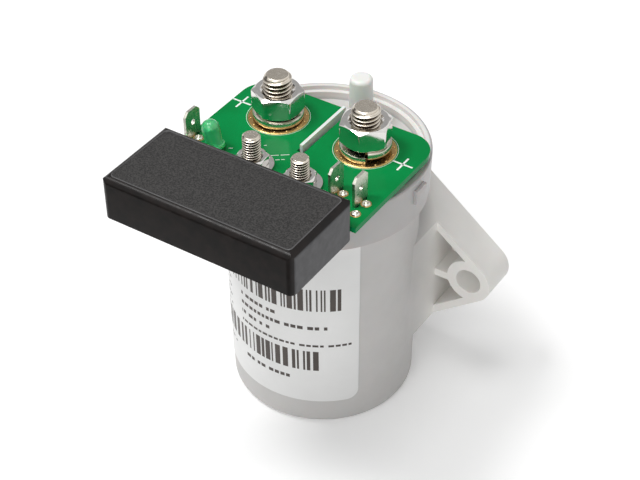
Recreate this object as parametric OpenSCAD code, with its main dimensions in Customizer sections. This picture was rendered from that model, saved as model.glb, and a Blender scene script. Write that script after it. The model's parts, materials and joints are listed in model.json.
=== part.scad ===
// Battery isolator relay: a moulded mounting cup with two M8 power studs on top, a control
// circuit board clamped by the studs, and a potted electronics module at the front.
// Millimetres. The origin is the centre of the cup's base, +Z is up, +Y faces the wall
// that the relay is bolted to, and the module hangs out towards -Y.

/* [Cup] */
// Outer radius of the cup at its base
body_r = 27.1; // [26.6:0.1:28]
// How much wider the cup is at its shoulder than at its base, on the radius
body_draft = 0.8; // [0.2:0.1:1.2]
// Thickness of the cup's side wall at its base
cup_wall = 2.6; // [2.2:0.1:2.8]
// Thickness of the cup's floor
floor_t = 2.6; // [2:0.1:4]
// Radius of the rounded edge round the base
base_edge_r = 2; // [0.5:0.1:2.5]
// Height of the thin neck that the cap sits over
neck_h = 5.5; // [4:0.5:7]

/* [Mounting flange] */
// Distance from the cup's side to the wall
flange_clear = 3.9; // [3.9:0.1:8]
// Depth of the ears, from the wall towards the front
ear_t = 12; // [9:0.5:14]
// Distance of each fixing hole from the cup's side
ear_reach = 11.2; // [10:0.1:16]
// Height of the fixing holes above the base
ear_z = 35.6; // [34:0.1:38]
// Radius of the fixing holes
ear_hole_r = 4; // [2.6:0.1:4.3]
// Outer radius of the boss round each fixing hole
ear_boss_r = 7; // [6.6:0.1:8]
// Slope of the ears' long edges, in degrees
ear_slope = 38; // [34:1:40]
// Thickness of the walls round the ear pockets
ear_wall = 2.4; // [1.6:0.1:3]
// Thickness of the web that closes each ear pocket at the wall side
ear_web = 2; // [1:0.1:3]
// Thickness of the rib between cup and boss
ear_rib_t = 2.4; // [1.6:0.1:3]
// Thickness of the ribs behind the cup
back_rib_t = 1.8; // [1:0.1:2.5]

/* [Cap] */
// How far the top of the cap stands out beyond the cup's shoulder
cap_overhang = 2.8; // [2.5:0.1:3]
// How much narrower the cap is at its lower edge, on the radius
cap_draft = 0.4; // [0:0.1:0.6]
// Height of the cap from its lower edge to its rim
cap_h = 13.2; // [12:0.1:15]
// Width of the top of the rim
rim_w = 1.8; // [1.2:0.1:2.2]
// Width of the ledge inside the rim
ledge_w = 1.3; // [0.8:0.1:1.6]
// Depth of the ledge below the rim
ledge_depth = 1.3; // [0.8:0.1:1.6]
// Depth of the cap's floor below the rim
recess_depth = 3.7; // [3:0.1:4]
// Radius of the cap's rounded outer top edge
rim_edge_r = 0.6; // [0.3:0.1:0.8]
// Height of the raised latch lug on the cap's side
lug_h = 4.6; // [3:0.1:6]
// How far the latch lug stands out
lug_proud = 0.8; // [0.4:0.1:1.2]
// Width of the latch lug's bars
lug_bar = 1.3; // [0.8:0.1:1.6]
// Length of the latch lug's upper bar along the cap
lug_len = 5.1; // [3:0.1:7]
// Radius of the filling post at its foot
post_r = 3.6; // [2.6:0.1:3.8]
// Radius of the filling post at its top
post_top_r = 3.3; // [2:0.1:3.4]
// Height of the filling post above the cap's floor
post_h = 14.5; // [8:0.5:18]
// Distance of the filling post's centre from the edge of the cap's floor
post_inset = 7.1; // [5.5:0.1:8.5]

/* [Circuit board] */
// Half of the board's width
board_half_w = 30.2; // [29.8:0.1:32]
// Gap between the board's rear edge and the filling post
board_rear_gap = 3.6; // [2.5:0.1:4]
// Radius of the board's rear corners
board_corner_r = 8; // [3:0.5:10]
// Thickness of the board
board_t = 1.6; // [1.2:0.1:2]
// Gap between the cap's rim and the underside of the board
board_gap = 2.36; // [1:0.01:3]
// Width of the slot that splits the power side of the board
slot_w = 2.2; // [1.8:0.1:2.6]
// Thickness of the insulating barrier that stands in the slot
barrier_t = 0.9; // [0.8:0.1:1.2]
// Sideways place of the barrier in the slot
barrier_x = -0.3; // [-0.3:0.1:0.3]
// Height of the barrier above the board
barrier_up = 1.5; // [1:0.1:4]
// Distance of the barrier's front end ahead of the cup's axis
barrier_front = 9.5; // [8:0.5:12]
// Distance of the barrier's rear end ahead of the board's rear edge
barrier_rear_gap = 1; // [0:0.1:3]

/* [Power studs] */
// Space between the contact heads and the wall of the arc chamber
head_space = 2.9; // [2.2:0.1:3.2]
// Radius of the studs' thread, M8
stud_r = 4; // [3:0.5:4]
// Length of thread that stands out above the nut
stud_free = 4.8; // [4:0.1:10]
// Radius of the stud's shoulder under the board
shoulder_r = 8; // [7:0.1:8.5]
// Width across the flats of the power nuts
nut_af = 13; // [12:0.1:13.5]
// Height of the power nuts
nut_h = 6.5; // [5:0.1:8]
// Turn of the left power nut, in degrees
left_nut_turn = 30; // [0:1:60]
// Turn of the right power nut, in degrees
right_nut_turn = 48; // [0:1:60]
// Outer radius of the split lock washers
lock_r = 7.4; // [6.8:0.1:7.6]
// Height of the left split lock washer
lock_t = 2.7; // [1.4:0.1:3.2]
// How much further open the right split lock washer stands
lock_open = 0.7; // [0:0.1:1]
// Width of the split in the lock washers
lock_split = 0.7; // [0.4:0.1:1.2]
// Turn of the split from the front, in degrees
lock_turn = 34; // [0:1:90]
// Outer radius of the plated rings under the washers
pad_r = 8.6; // [8.2:0.1:9.6]
// Thickness of the plated rings
pad_t = 0.15; // [0.1:0.01:0.3]

/* [Signal studs] */
// Sideways place of the left signal stud
signal_left_x = -7.2; // [-8:0.1:-6.8]
// Sideways place of the right signal stud
signal_right_x = 8.3; // [7:0.1:9]
// Distance of the signal studs ahead of the cup's axis
signal_y = 22.7; // [22:0.1:24]
// Radius of the signal studs' thread, M5
signal_r = 2.5; // [2:0.1:2.6]
// Length of thread above the left signal nut
signal_left_free = 6.6; // [4:0.1:10]
// Length of thread above the right signal nut
signal_right_free = 5.5; // [4:0.1:10]
// Width across the flats of the signal nuts
signal_af = 8; // [7.5:0.1:8.5]
// Height of the signal nuts
signal_nut_h = 2.7; // [2.4:0.1:5]
// Outer radius of the signal washers
signal_washer_r = 5.9; // [4.9:0.1:6]
// Thickness of the signal washers
signal_washer_t = 1; // [0.6:0.1:1.2]
// Radius of the signal studs' heads under the board
signal_head_r = 4.2; // [3.4:0.1:4.4]
// Thickness of the signal studs' heads
signal_head_t = 1.8; // [1:0.1:2]

/* [Blade tabs] */
// Width of the blade tabs
tab_w = 6.3; // [4.8:0.1:6.4]
// Thickness of the blade tabs
tab_t = 0.8; // [0.5:0.1:1]
// Height of the blade tabs above the board
tab_h = 8.9; // [7:0.1:10]
// Sideways place of the left blade tab
tab_left_x = -28.9; // [-29.2:0.1:-28]
// Sideways place of the inner right blade tab
tab_inner_x = 17.8; // [17.6:0.1:18.4]
// Sideways place of the outer right blade tab
tab_outer_x = 25.2; // [24.5:0.1:26]
// Distance of the blade tabs ahead of the cup's axis
tab_y = 20.2; // [19.8:0.1:20.6]
// Radius of the hole in the blade tabs
tab_hole_r = 0.85; // [0.5:0.05:1.2]

/* [Indicator] */
// Radius of the indicator lamp
lamp_r = 2.5; // [2:0.1:2.6]
// Length of the indicator lamp from its flange to its tip
lamp_len = 8.3; // [6:0.1:9]
// Sideways place of the indicator lamp
lamp_x = -20; // [-20.6:0.1:-19]
// Distance of the indicator lamp ahead of the cup's axis
lamp_y = 22; // [21.5:0.1:23]
// Lean of the indicator lamp away from the centre, in degrees
lamp_lean = 12; // [0:1:14]

/* [Module] */
// Half of the module's width
module_half_w = 29.6; // [28.5:0.1:31]
// Depth of the module from back to front
module_depth = 27.4; // [24:0.1:30]
// Height of the module
module_h = 12.9; // [11.5:0.1:16]
// Distance of the module's back wall ahead of the cup's axis
module_y = 30.65; // [30.2:0.05:33]
// Distance from the underside of the module up to the underside of the board
module_sink = 1.5; // [1:0.1:1.8]
// Radius of the module's edges
module_edge_r = 1.8; // [0.6:0.1:2.2]
// Wall thickness of the module's case
module_wall = 1.8; // [1.2:0.1:2]

/* [Label] */
// Height of the label's lower edge above the base
label_z = 9; // [5:0.5:14]
// Distance from the label's upper edge to the cup's shoulder
label_gap = 2.5; // [1:0.5:30]
// Thickness of the label
label_t = 0.15; // [0.1:0.01:0.3]
// Angle of the label's right edge round the cup
label_right = -35; // [-60:1:-30]
// Angle that the label wraps round the cup
label_wrap = 140; // [60:1:146]

/* [Solenoid] */
// Wall thickness of the steel can round the coil
can_wall = 1.8; // [1.4:0.1:2.2]
// Height of the steel can
can_h = 36; // [35:0.5:37]
// Thickness of the steel plate on top of the can
plate_t = 3; // [2:0.1:4]
// Radius of the plunger
plunger_r = 7.6; // [7:0.1:8]
// Length of the fixed core below the top plate
core_len = 14; // [12:0.5:15]
// Wall thickness of the brass guide sleeve
sleeve_wall = 0.75; // [0.5:0.05:1]
// Wall thickness of the coil bobbin's tube
bobbin_wall = 1.2; // [0.8:0.1:1.6]
// Thickness of the coil bobbin's flanges
bobbin_flange_t = 1.5; // [1:0.1:2]
// How far the copper winding stays inside the rim of its bobbin
winding_inset = 1.6; // [1.2:0.1:4]
// Stroke of the plunger until the contacts close
stroke = 1.7; // [1:0.1:1.8]
// Thickness of the rubber stop under the plunger
stop_t = 1; // [0.5:0.1:1.5]
// Radius of the plunger's shaft
shaft_r = 2; // [1.5:0.1:2.2]
// Radius of the return spring at the middle of its wire
return_spring_r = 4.2; // [3.8:0.1:4.6]
// Radius of the return spring's wire
return_wire_r = 0.4; // [0.25:0.05:0.5]
// Depth of the spring's seat in the fixed core
core_seat_depth = 8; // [5:0.5:9]
// Depth of the spring's seat in the plunger
plunger_seat_depth = 3; // [2:0.5:5]

/* [Contacts] */
// Height of the arc chamber
chamber_h = 22; // [21:0.5:22]
// Half of the arc chamber's depth from front to back
chamber_half_d = 12; // [11:0.5:13]
// Thickness of the arc chamber's walls
chamber_wall = 2; // [1.5:0.1:2.2]
// Thickness of the arc chamber's roof
chamber_roof = 3; // [2:0.1:3.5]
// Radius of the contact heads at the lower end of the studs
head_r = 5; // [4.8:0.1:5.6]
// Thickness of the contact heads
head_t = 3; // [2:0.1:3.5]
// Radius of the studs' necks inside the cup
stem_r = 4.5; // [4:0.1:4.6]
// Radius of the silver contact tips
tip_r = 4; // [3:0.1:4.4]
// Thickness of the silver contact tips
tip_t = 1; // [0.5:0.1:1.2]
// Width of the contact bridge
bridge_w = 9; // [8.8:0.1:11]
// Thickness of the contact bridge
bridge_t = 2.5; // [2:0.1:3]
// Length of the contact spring
contact_spring_len = 5.2; // [4:0.1:5.5]
// Radius of the contact spring at the middle of its wire
contact_spring_r = 3.2; // [2.9:0.1:3.6]
// Radius of the contact spring's wire
contact_wire_r = 0.4; // [0.25:0.05:0.5]
// Thickness of the arc magnets
magnet_t = 3; // [2:0.1:4]
// Length of the arc magnets
magnet_len = 20; // [14:0.5:22]
// Height of the arc magnets
magnet_h = 12; // [8:0.5:16]
// Thickness of the disc that carries the studs
carrier_t = 6; // [5:0.1:6.5]
// Radius of the seal ring's section round the carrier
seal_r = 0.9; // [0.6:0.05:1.1]
// Radius of the coil's lead wires
lead_r = 0.6; // [0.4:0.05:0.8]
// Distance of each lead wire from the centre line
lead_x = 2; // [1.6:0.1:2.2]

/* [Hidden] */

$fn = 96;
// Overrun of cuts past a face
over = 0.5;
// Gap of a close fit inside one body
fit_gap = 0.05;
// Gap of a loose fit inside one body
loose_gap = 0.3;
// Gap between pieces that slide on each other
running_gap = 0.05;
// Gap between a moving piece and its stop
stop_gap = 0.3;
// Gap that is left between closed contacts
closed_gap = 0.05;

// Heights of the pieces that stand on each other in the cup
bore_r = body_r - cup_wall;
inner_r = bore_r - loose_gap;
can_floor_z = floor_t + can_wall;
can_top_z = floor_t + can_h;
plate_top_z = can_top_z + plate_t;
chamber_top_z = plate_top_z + chamber_h;
carrier_top_z = chamber_top_z + carrier_t;
body_top_r = body_r + body_draft;
seal_pour_t = 4.4;
neck_top_z = carrier_top_z + seal_pour_t;
body_h = neck_top_z - neck_h;
neck_r = body_top_r - loose_gap - fit_gap;
cap_r = body_top_r + cap_overhang;
rim_z = body_h + cap_h;
cap_floor_z = rim_z - recess_depth;
board_z = rim_z + board_gap;
board_top_z = board_z + board_t;

// Flange: wall side and front of the ears, and the ribs behind the cup
flange_back = body_r + flange_clear;
ear_x = body_r + ear_reach;
ear_front = flange_back - ear_t;
back_rib_pitch = 8;
back_rib_count = 3;

// Cap: radii inside the rim, lugs and post
ledge_r = cap_r - rim_w;
cap_floor_r = ledge_r - ledge_w;
post_y = cap_floor_r - post_inset;
board_rear = post_y - post_r - board_rear_gap;
lug_below_rim = 2.8;
lug_angle = -1;
lug_sink = 0.4;
post_round_r = 1.2;

// Studs and nuts
stud_x = inner_r - chamber_wall - head_r - head_space;
washer_z = board_top_z + pad_t;
nut_z = washer_z + lock_t;
right_nut_z = nut_z + lock_open;
stud_top_z = nut_z + nut_h + stud_free;
stud_chamfer = 0.9;
stud_hole_gap = 0.3;
nut_chamfer_slope = 30;
head_bottom_z = chamber_top_z - chamber_roof - head_t;
signal_washer_z = board_top_z;
signal_nut_z = signal_washer_z + signal_washer_t;
signal_thread_z = signal_nut_z + signal_nut_h;
signal_chamfer = 0.5;
signal_xs = [signal_left_x, signal_right_x];
signal_frees = [signal_left_free, signal_right_free];

// Blade tabs: chamfer, hole height and the two pins that go through the board
tab_chamfer = 1.3;
tab_hole_drop = 4.1;
tab_pin_w = 1.2;
tab_pin_pitch = 3.8;
tab_pin_below = 1;
tab_pin_hole_r = 0.95;

// Solder joints: beside the tabs and ahead of the outer tab, as [x, y] from the cup's axis
solder_r = 1.3;
solder_top_r = 0.6;
solder_h = 0.8;
solder_side = 1.9;
solder_ahead = 4.9;
solder_places = [
    [tab_inner_x + solder_side, -tab_y],
    [tab_outer_x + solder_side, -tab_y],
    [tab_outer_x + solder_side, -tab_y - solder_ahead],
    [tab_left_x + solder_side, -tab_y]
];

// Indicator lamp: flange, wires and standoff
lamp_flange_share = 1.16;
lamp_flange_r = lamp_flange_share * lamp_r;
lamp_flange_t = 1;
lamp_standoff = 0.4;
lamp_wire_r = 0.25;
lamp_wire_pitch = 1.27;
lamp_wire_below = 1.2;
lamp_wire_hole_r = 0.6;

// Module: places of its walls and of the parts that are potted in it
module_z = board_z - module_sink;
module_top_z = module_z + module_h;
module_back = -module_y;
module_front = module_back - module_depth;
tongue_side_gap = 0.6;
tongue_half_w = module_half_w - module_wall - tongue_side_gap;
tongue_end_gap = 1.5;
tongue_front = module_front + module_wall + tongue_end_gap;
board_shoulder = 0.4;
parts_edge = 0.8;
chip_size = [7.5, 7, 2];
chip_x = 9;
chip_y = tongue_front + parts_edge;
transistor_size = [10, 8.5, 4.4];
transistor_x = 8;
transistor_y = module_back - module_wall - parts_edge - transistor_size[1];
capacitor_r = 2.9;
capacitor_len = 11;
capacitor_x = 19;
parts_y = (module_back + tongue_front) / 2;

// Solenoid: plunger, core, sleeve and bobbin share the same centre line
sleeve_in_r = plunger_r + running_gap;
sleeve_out_r = sleeve_in_r + sleeve_wall;
bobbin_bore_r = sleeve_out_r + fit_gap;
bobbin_tube_r = bobbin_bore_r + bobbin_wall;
bobbin_r = inner_r - can_wall - loose_gap;
winding_r = bobbin_r - winding_inset;
core_bottom_z = plate_top_z - plate_t - core_len;
core_flange_t = 1.5;
core_flange_w = 1.4;
core_flange_r = plunger_r + core_flange_w;
plunger_bottom_z = can_floor_z + stop_t + stop_gap;
plunger_top_z = core_bottom_z - stroke - stop_gap;
spring_seat_gap = 0.8;
return_seat_r = return_spring_r + spring_seat_gap;
return_turns = 5;
return_low_z = plunger_top_z - plunger_seat_depth + return_wire_r + fit_gap;
return_high_z = core_bottom_z + core_seat_depth - return_wire_r - fit_gap;
stop_r = plunger_r - loose_gap;
lead_inset = 1.6;
lead_y = bobbin_r - lead_inset;
lead_hole_r = lead_r + loose_gap;

// Contacts
fixed_tip_z = head_bottom_z - tip_t;
moving_tip_top_z = fixed_tip_z - stroke - closed_gap;
bridge_top_z = moving_tip_top_z - tip_t;
bridge_z = bridge_top_z - bridge_t;
bridge_half_len = stud_x + bridge_w / 2;
clip_t = 0.8;
clip_w = 1.5;
clip_r = shaft_r + clip_w;
shaft_tip = 2;
shaft_top_z = bridge_top_z + clip_t + shaft_tip;
collar_lip = 0.4;
collar_r = contact_spring_r + contact_wire_r + collar_lip;
collar_t = 1.2;
collar_top_z = bridge_z - contact_spring_len;
contact_turns = 4;
contact_low_z = collar_top_z + contact_wire_r + fit_gap;
contact_high_z = bridge_z - contact_wire_r - fit_gap;
magnet_y = chamber_half_d + loose_gap;
seal_groove_gap = 0.05;

// Draws the children at +distance and at -distance along X
module both_sides(distance) {
    for (side = [-1, 1]) translate([side * distance, 0, 0]) children();
}

// Turns a drawing of X and Z into a solid that runs from y0 to y1
module along_y(y0, y1) {
    translate([0, y1, 0]) rotate([90, 0, 0]) linear_extrude(y1 - y0) children();
}

// Turns a drawing of Y and Z into a solid that runs from x0 to x1
module along_x(x0, x1) {
    translate([x0, 0, 0]) rotate([90, 0, 90]) linear_extrude(x1 - x0) children();
}

// A rectangle from its low corner to its high corner
module area(low, high) {
    translate(low) square(high - low);
}

// A rectangle with four rounded corners
module round_area(low, high, r) {
    area(low + [r, 0], high - [r, 0]);
    area(low + [0, r], high - [0, r]);
    for (x = [low[0] + r, high[0] - r], y = [low[1] + r, high[1] - r]) translate([x, y]) circle(r);
}

// A cylinder from z0 to z1
module rod(r, z0, z1) {
    translate([0, 0, z0]) cylinder(r = r, h = z1 - z0);
}

// A ring from z0 to z1
module ring(r_out, r_in, z0, z1) {
    difference() {
        rod(r_out, z0, z1);
        rod(r_in, z0 - over, z1 + over);
    }
}

// A round bar with a chamfered upper end
module chamfered_rod(r, chamfer, z0, z1) {
    rotate_extrude() polygon([
        [0, z0], [r, z0], [r, z1 - chamfer], [r - chamfer, z1], [0, z1]
    ]);
}

// A hexagon nut whose corners are chamfered above and below, standing on z = 0
module hex_nut(af, h, bore) {
    corner_r = af / 2 / cos(30);
    drop = (corner_r - af / 2) * tan(nut_chamfer_slope);
    difference() {
        intersection() {
            cylinder(r = corner_r, h = h, $fn = 6);
            rotate_extrude() polygon([
                [0, 0], [af / 2, 0], [corner_r, drop], [corner_r, h - drop], [af / 2, h], [0, h]
            ]);
        }
        rod(bore, -over, h + over);
    }
}

// A round wire wound into a helix from z0 to z1, measured at the middle of the wire
module helix(r, wire_r, z0, z1, turns) {
    sides = 6;
    rings_per_turn = 14;
    n = turns * rings_per_turn;
    points = [
        for (i = [0:n], k = [0:sides - 1])
            let (
                turn = 360 * i / rings_per_turn,
                around = 360 * k / sides,
                reach = r + wire_r * cos(around)
            )
            [reach * cos(turn), reach * sin(turn), z0 + (z1 - z0) * i / n + wire_r * sin(around)]
    ];
    sides_faces = [
        for (i = [0:n - 1], k = [0:sides - 1], half = [0, 1])
            let (
                a = i * sides + k,
                b = i * sides + (k + 1) % sides
            )
            half == 0 ? [a, b, a + sides] : [b, b + sides, a + sides]
    ];
    first_end = [for (k = [1:sides - 2]) [0, k + 1, k]];
    last = n * sides;
    last_end = [for (k = [1:sides - 2]) [last, last + k, last + k + 1]];
    polyhedron(points = points, faces = concat(sides_faces, first_end, last_end), convexity = 10);
}

// Radius of the cup's outer wall at a height
function wall_r(z) = body_r + body_draft * z / body_h;

// Outline of the flange seen from the front: two slopes that run tangent to a circle round
// each fixing hole and meet above and below the cup
module flange_outline(r) {
    peak = ear_x * tan(ear_slope) + r / cos(ear_slope);
    out = ear_x + r * sin(ear_slope);
    up = r * cos(ear_slope);
    translate([0, ear_z]) polygon([[0, peak], [out, up], [out, -up], [0, -peak], [-out, -up], [-out, up]]);
    for (side = [-1, 1]) translate([side * ear_x, ear_z]) circle(r);
}

// The part of a drawing that lies between the base and the cap, and within a half width
module clip_area(half_w, low_z, high_z) {
    intersection() {
        children();
        area([-half_w, low_z], [half_w, high_z]);
    }
}

module flange_block() {
    reach = ear_x + ear_boss_r;
    along_y(ear_front, flange_back) clip_area(reach, 0, body_h) flange_outline(ear_boss_r);
    along_y(0, flange_back) clip_area(body_r, 0, body_h) flange_outline(ear_boss_r);
}

// The pockets of the ears, open to the front and closed by a web at the wall
module ear_pockets() {
    inset_r = ear_boss_r - ear_wall;
    along_y(ear_front - over, flange_back - ear_web) difference() {
        flange_outline(inset_r);
        area([-body_r, ear_z - 2 * flange_back], [body_r, ear_z + 2 * flange_back]);
        for (side = [-1, 1]) translate([side * ear_x, ear_z]) circle(ear_boss_r);
        area([-ear_x, ear_z - ear_rib_t], [ear_x, ear_z]);
    }
}

// The gaps between the ribs behind the cup, open to the wall
module back_pockets() {
    inset_r = ear_boss_r - ear_wall;
    along_y(0, flange_back + over) difference() {
        clip_area(body_r - ear_wall, base_edge_r + floor_t, body_h - ear_wall) flange_outline(inset_r);
        for (i = [1 - back_rib_count:back_rib_count - 1])
            translate([i * back_rib_pitch, 0]) area([-back_rib_t / 2, 0], [back_rib_t / 2, body_h]);
    }
}

// Half section of the cup's outside, with a rounded edge at the base
module cup_section() {
    polygon([
        [0, 0], [body_r - base_edge_r, 0], [body_r, base_edge_r], [body_top_r, body_h],
        [neck_r, body_h], [neck_r, neck_top_z], [0, neck_top_z]
    ]);
    translate([body_r - base_edge_r, base_edge_r]) circle(base_edge_r);
}

module housing_cup() {
    color("gainsboro") difference() {
        union() {
            difference() {
                flange_block();
                ear_pockets();
                back_pockets();
            }
            rotate_extrude() cup_section();
        }
        rod(bore_r, floor_t, neck_top_z + over);
        both_sides(ear_x) translate([0, 0, ear_z]) along_y(ear_front - over, flange_back + over) circle(ear_hole_r);
    }
}

// Half section of the cap: a drafted skirt, a rim, a ledge and a recessed floor
module cap_section() {
    skirt_in_r = neck_r + loose_gap;
    polygon([
        [0, neck_top_z], [skirt_in_r, neck_top_z], [skirt_in_r, body_h], [cap_r - cap_draft, body_h],
        [cap_r, rim_z - rim_edge_r], [cap_r - rim_edge_r, rim_z],
        [ledge_r, rim_z], [ledge_r, rim_z - ledge_depth],
        [cap_floor_r, rim_z - ledge_depth], [cap_floor_r, cap_floor_z], [0, cap_floor_z]
    ]);
    translate([cap_r - rim_edge_r, rim_z - rim_edge_r]) circle(rim_edge_r);
}

// A raised L on the cap's side that latches the terminal cover
module latch_lug() {
    top = rim_z - lug_below_rim;
    radial = cap_r - lug_sink;
    depth = lug_sink + lug_proud;
    translate([radial, -lug_bar / 2, top - lug_h]) cube([depth, lug_bar, lug_h]);
    translate([radial, -lug_bar / 2, top - lug_bar]) cube([depth, lug_len, lug_bar]);
}

module cap() {
    color("whitesmoke") difference() {
        union() {
            rotate_extrude() cap_section();
            for (turn = [0, 180]) rotate([0, 0, turn + lug_angle]) latch_lug();
        }
        both_sides(stud_x) rod(shoulder_r + loose_gap, neck_top_z - over, rim_z);
        both_sides(lead_x) translate([0, -lead_y, 0]) rod(lead_hole_r, neck_top_z - over, rim_z);
    }
}

module filling_post() {
    top = cap_floor_z + post_h;
    color("white") translate([0, post_y, 0]) rotate_extrude() {
        polygon([
            [0, cap_floor_z], [post_r, cap_floor_z], [post_top_r, top - post_round_r],
            [post_top_r - post_round_r, top], [0, top]
        ]);
        intersection() {
            translate([post_top_r - post_round_r, top - post_round_r]) circle(post_round_r);
            area([0, cap_floor_z], [post_r, top]);
        }
    }
}

module terminal_barrier() {
    color("white") translate([barrier_x - barrier_t / 2, -barrier_front, cap_floor_z])
        cube([barrier_t, barrier_front + board_rear - barrier_rear_gap, board_top_z + barrier_up - cap_floor_z]);
}

module label() {
    low = label_z;
    high = body_h - label_gap;
    color("white") rotate([0, 0, label_right - label_wrap]) rotate_extrude(angle = label_wrap) polygon([
        [wall_r(low) + fit_gap, low], [wall_r(low) + fit_gap + label_t, low],
        [wall_r(high) + fit_gap + label_t, high], [wall_r(high) + fit_gap, high]
    ]);
}

// Outline of the board: a wide part with round rear corners, and a narrower tongue that
// reaches into the module
module board_outline() {
    difference() {
        union() {
            round_area([-board_half_w, module_back + board_shoulder], [board_half_w, board_rear], board_corner_r);
            area([-board_half_w, module_back + board_shoulder], [board_half_w, board_rear - board_corner_r]);
            area([-tongue_half_w, tongue_front], [tongue_half_w, module_back + board_shoulder]);
        }
        area([-slot_w / 2, -barrier_front - slot_w / 2], [slot_w / 2, board_rear + over]);
        both_sides(stud_x) circle(stud_r + stud_hole_gap);
        for (x = signal_xs) translate([x, -signal_y]) circle(signal_r + stud_hole_gap);
        for (x = [tab_left_x, tab_inner_x, tab_outer_x], side = [-1, 1])
            translate([x, -tab_y + side * tab_pin_pitch / 2]) circle(tab_pin_hole_r);
        for (side = [-1, 1]) translate([lamp_x + side * lamp_wire_pitch, -lamp_y]) circle(lamp_wire_hole_r);
    }
}

module circuit_board() {
    color("green") translate([0, 0, board_z]) linear_extrude(board_t) board_outline();
}

module plated_rings() {
    color("goldenrod") both_sides(stud_x) ring(pad_r, stud_r + stud_hole_gap, board_top_z, washer_z);
}

// One stud: contact head in the chamber, neck through the carrier and the epoxy, shoulder
// under the board and thread above it
module power_stud() {
    rod(head_r, head_bottom_z, head_bottom_z + head_t);
    rod(stem_r, head_bottom_z, neck_top_z + over);
    rod(shoulder_r, neck_top_z, board_z);
    chamfered_rod(stud_r, stud_chamfer, neck_top_z, stud_top_z);
}

module power_studs() {
    color("silver") both_sides(stud_x) power_stud();
}

module power_nuts() {
    color("lightsteelblue") {
        translate([-stud_x, 0, nut_z]) rotate([0, 0, left_nut_turn]) hex_nut(nut_af, nut_h, stud_r + fit_gap);
        translate([stud_x, 0, right_nut_z]) rotate([0, 0, right_nut_turn]) hex_nut(nut_af, nut_h, stud_r + fit_gap);
    }
}

// A split ring that stands on the plated ring and reaches up to top
module lock_washer(top) {
    high = top - washer_z + 2 * over;
    difference() {
        ring(lock_r, stud_r + fit_gap, washer_z, top);
        translate([0, 0, washer_z - over]) rotate([90, 0, lock_turn])
            linear_extrude(lock_r + over) area([-lock_split / 2, 0], [lock_split / 2, high]);
    }
}

module lock_washers() {
    color("darkgoldenrod") {
        translate([-stud_x, 0, 0]) lock_washer(nut_z);
        translate([stud_x, 0, 0]) lock_washer(right_nut_z);
    }
}

module signal_studs() {
    color("silver") for (i = [0, 1]) translate([signal_xs[i], -signal_y, 0]) {
        rod(signal_head_r, board_z - signal_head_t, board_z);
        chamfered_rod(signal_r, signal_chamfer, board_z - signal_head_t, signal_thread_z + signal_frees[i]);
    }
}

module signal_nuts() {
    color("lightsteelblue") for (x = signal_xs)
        translate([x, -signal_y, signal_nut_z]) hex_nut(signal_af, signal_nut_h, signal_r + fit_gap);
}

module signal_washers() {
    color("silver") for (x = signal_xs)
        translate([x, -signal_y, 0]) ring(signal_washer_r, signal_r + fit_gap, signal_washer_z, signal_nut_z);
}

// A flat tab with two pins through the board, in the plane x = 0
module blade_tab() {
    top = board_top_z + tab_h;
    half = tab_w / 2;
    translate([0, -tab_y, 0]) along_x(-tab_t / 2, tab_t / 2) difference() {
        union() {
            polygon([
                [-half, board_top_z], [half, board_top_z], [half, top - tab_chamfer],
                [half - tab_chamfer, top], [tab_chamfer - half, top], [-half, top - tab_chamfer]
            ]);
            for (side = [-1, 1]) translate([side * tab_pin_pitch / 2, 0])
                area([-tab_pin_w / 2, board_z - tab_pin_below], [tab_pin_w / 2, board_top_z + over]);
        }
        translate([0, top - tab_hole_drop]) circle(tab_hole_r);
    }
}

module blade_tab_left() {
    color("silver") translate([tab_left_x, 0, 0]) blade_tab();
}

module blade_tab_inner() {
    color("silver") translate([tab_inner_x, 0, 0]) blade_tab();
}

module blade_tab_outer() {
    color("silver") translate([tab_outer_x, 0, 0]) blade_tab();
}

module solder_joints() {
    color("lightgray") for (place = solder_places)
        translate([place[0], place[1], board_top_z]) cylinder(r1 = solder_r, r2 = solder_top_r, h = solder_h);
}

// The lamp leans about the middle of its flange
module lamp_place() {
    translate([lamp_x, -lamp_y, board_top_z + lamp_standoff + lamp_flange_r * sin(lamp_lean)])
        rotate([0, -lamp_lean, 0]) children();
}

module indicator_lens() {
    color("limegreen") lamp_place() {
        rod(lamp_flange_r, 0, lamp_flange_t);
        rod(lamp_r, 0, lamp_len - lamp_r);
        translate([0, 0, lamp_len - lamp_r]) sphere(lamp_r);
    }
}

// Two wires from the lamp's foot through the board
module indicator_leads() {
    lean_drop = lamp_wire_pitch * sin(lamp_lean);
    foot_z = board_top_z + lamp_standoff + lamp_flange_r * sin(lamp_lean);
    color("silver") for (side = [-1, 1]) translate([lamp_x + side * lamp_wire_pitch, -lamp_y, 0])
        rod(lamp_wire_r, board_z - lamp_wire_below, foot_z + side * lean_drop - lamp_wire_r - fit_gap);
}

// A block with rounded upright and upper edges
module module_block() {
    r = module_edge_r;
    low_x = -module_half_w;
    high_x = module_half_w;
    below = module_z - 2 * r;
    intersection() {
        translate([0, 0, module_z]) linear_extrude(module_h)
            round_area([low_x, module_front], [high_x, module_back], r);
        along_y(module_front - over, module_back + over)
            round_area([low_x, below], [high_x, module_top_z], r);
        along_x(low_x - over, high_x + over)
            round_area([module_front, below], [module_back, module_top_z], r);
    }
}

// The hollow of the case, open below
module module_hollow(low_z) {
    w = module_half_w - module_wall;
    front = module_front + module_wall;
    back = module_back - module_wall;
    translate([-w, front, low_z]) cube([2 * w, back - front, module_top_z - module_wall - low_z]);
}

module module_case() {
    notch_w = tongue_half_w + fit_gap;
    color("black") difference() {
        module_block();
        module_hollow(module_z - over);
        translate([-notch_w, module_back - module_wall - over, module_z - over])
            cube([2 * notch_w, module_wall + 2 * over, module_sink + board_t + fit_gap + over]);
    }
}

module chip_blocks() {
    for (side = [-1, 1]) translate([side * chip_x - chip_size[0] / 2, chip_y, board_top_z]) cube(chip_size);
}

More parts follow.
